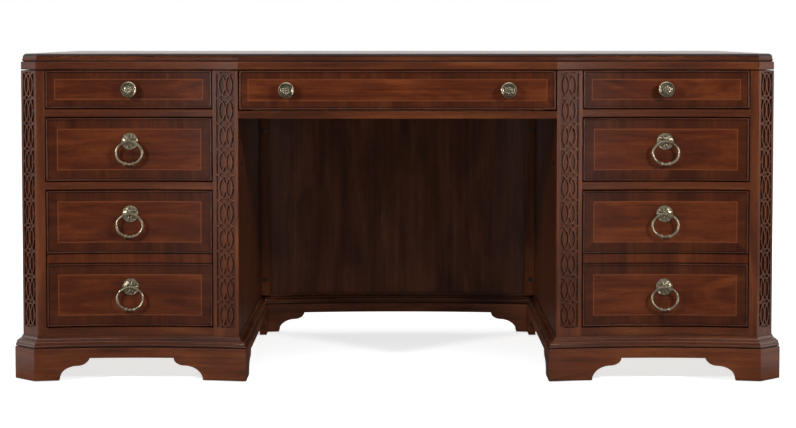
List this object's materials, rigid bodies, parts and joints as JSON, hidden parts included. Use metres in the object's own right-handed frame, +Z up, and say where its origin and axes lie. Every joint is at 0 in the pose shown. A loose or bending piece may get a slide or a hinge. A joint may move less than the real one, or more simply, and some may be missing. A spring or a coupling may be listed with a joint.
{
  "type": "pedestal desk",
  "caption": "Mahogany pedestal desk with hollow drawer fronts, ring pulls, blind fretwork on canted corners, bracket feet and a bowed modesty panel; all drawers slide.",
  "frame": {"origin": "on the floor under the middle of the desk's bounding box", "axes": "+X to the right for a person facing the drawers, +Y from the drawers to the visitor side, +Z up"},
  "size_m": [1.829, 0.9138, 0.778],
  "materials": {
    "mahogany": "satin lacquer, red-brown",
    "inner_wood": "clear sealed, pale",
    "aged_brass": "aged, brushed on the high spots",
    "slide_steel": "zinc plated",
    "bolt_steel": "bronzed",
    "glide_plastic": "matt black"
  },
  "bodies": {
    "carcase": {"assembly_bolts": "bolt_steel", "base_moulding": "mahogany", "centre_rail": "mahogany", "centre_runners": "inner_wood", "corner_posts": "mahogany", "drawer_rails": "mahogany", "drawer_runners": "inner_wood", "file_slide_tracks": "slide_steel", "floor_glides": "glide_plastic", "foot_blocks": "inner_wood", "fretwork_panels": "mahogany", "frieze_back": "mahogany", "frieze_ends": "mahogany", "frieze_front": "mahogany", "inner_stiles": "mahogany", "left_back_panel": "mahogany", "left_inner_side": "mahogany", "left_outer_side": "mahogany", "modesty_cleats": "mahogany", "modesty_moulding": "mahogany", "modesty_panel": "mahogany", "modesty_plinth": "mahogany", "pedestal_bottoms": "inner_wood", "pedestal_tops": "inner_wood", "plinth_boards": "mahogany", "right_back_panel": "mahogany", "right_inner_side": "mahogany", "right_outer_side": "mahogany", "top_board": "mahogany"},
    "right_top_drawer": {"right_top_front": "mahogany", "right_top_box": "inner_wood", "right_top_knob": "aged_brass"},
    "right_utility_drawer": {"right_utility_front": "mahogany", "right_utility_box": "inner_wood", "right_utility_plate": "aged_brass"},
    "right_file_drawer": {"right_file_front": "mahogany", "right_file_box": "inner_wood", "right_file_plates": "aged_brass", "right_slide_inner": "slide_steel"},
    "right_slide_member": {"right_slide_middle": "slide_steel"},
    "right_utility_pull": {"right_utility_ring": "aged_brass"},
    "right_file_upper_pull": {"right_file_upper_ring": "aged_brass"},
    "right_file_lower_pull": {"right_file_lower_ring": "aged_brass"},
    "left_top_drawer": {"left_top_front": "mahogany", "left_top_box": "inner_wood", "left_top_knob": "aged_brass"},
    "left_utility_drawer": {"left_utility_front": "mahogany", "left_utility_box": "inner_wood", "left_utility_plate": "aged_brass"},
    "left_file_drawer": {"left_file_front": "mahogany", "left_file_box": "inner_wood", "left_file_plates": "aged_brass", "left_slide_inner": "slide_steel"},
    "left_slide_member": {"left_slide_middle": "slide_steel"},
    "left_utility_pull": {"left_utility_ring": "aged_brass"},
    "left_file_upper_pull": {"left_file_upper_ring": "aged_brass"},
    "left_file_lower_pull": {"left_file_lower_ring": "aged_brass"},
    "centre_drawer": {"centre_front": "mahogany", "centre_box": "inner_wood", "centre_knobs": "aged_brass"}
  },
  "joints": [
    {"name": "right_top_slide", "type": "slide", "parent": "carcase", "child": "right_top_drawer", "axis": [0, -1, 0], "range_m": [0, 0.44]},
    {"name": "right_utility_slide", "type": "slide", "parent": "carcase", "child": "right_utility_drawer", "axis": [0, -1, 0], "range_m": [0, 0.44]},
    {"name": "right_file_slide", "type": "slide", "parent": "carcase", "child": "right_file_drawer", "axis": [0, -1, 0], "range_m": [0, 0.52]},
    {"name": "right_middle_slide", "type": "slide", "parent": "carcase", "child": "right_slide_member", "axis": [0, -1, 0], "range_m": [0, 0.26]},
    {"name": "right_utility_hinge", "type": "hinge", "parent": "right_utility_drawer", "child": "right_utility_pull", "pos_m": [0.636, -0.42468, 0.56975], "axis": [-1, 0, 0], "range_deg": [0, 95]},
    {"name": "right_file_upper_hinge", "type": "hinge", "parent": "right_file_drawer", "child": "right_file_upper_pull", "pos_m": [0.636, -0.42468, 0.39725], "axis": [-1, 0, 0], "range_deg": [0, 95]},
    {"name": "right_file_lower_hinge", "type": "hinge", "parent": "right_file_drawer", "child": "right_file_lower_pull", "pos_m": [0.636, -0.42468, 0.22275], "axis": [-1, 0, 0], "range_deg": [0, 95]},
    {"name": "left_top_slide", "type": "slide", "parent": "carcase", "child": "left_top_drawer", "axis": [0, -1, 0], "range_m": [0, 0.44]},
    {"name": "left_utility_slide", "type": "slide", "parent": "carcase", "child": "left_utility_drawer", "axis": [0, -1, 0], "range_m": [0, 0.44]},
    {"name": "left_file_slide", "type": "slide", "parent": "carcase", "child": "left_file_drawer", "axis": [0, -1, 0], "range_m": [0, 0.52]},
    {"name": "left_middle_slide", "type": "slide", "parent": "carcase", "child": "left_slide_member", "axis": [0, -1, 0], "range_m": [0, 0.26]},
    {"name": "left_utility_hinge", "type": "hinge", "parent": "left_utility_drawer", "child": "left_utility_pull", "pos_m": [-0.636, -0.42468, 0.56975], "axis": [-1, 0, 0], "range_deg": [0, 95]},
    {"name": "left_file_upper_hinge", "type": "hinge", "parent": "left_file_drawer", "child": "left_file_upper_pull", "pos_m": [-0.636, -0.42468, 0.39725], "axis": [-1, 0, 0], "range_deg": [0, 95]},
    {"name": "left_file_lower_hinge", "type": "hinge", "parent": "left_file_drawer", "child": "left_file_lower_pull", "pos_m": [-0.636, -0.42468, 0.22275], "axis": [-1, 0, 0], "range_deg": [0, 95]},
    {"name": "centre_slide", "type": "slide", "parent": "carcase", "child": "centre_drawer", "axis": [0, -1, 0], "range_m": [0, 0.42]}
  ],
  "couplings": [
    {"joint": "right_middle_slide", "follows": "right_file_slide", "ratio": 0.5},
    {"joint": "left_middle_slide", "follows": "left_file_slide", "ratio": 0.5}
  ]
}
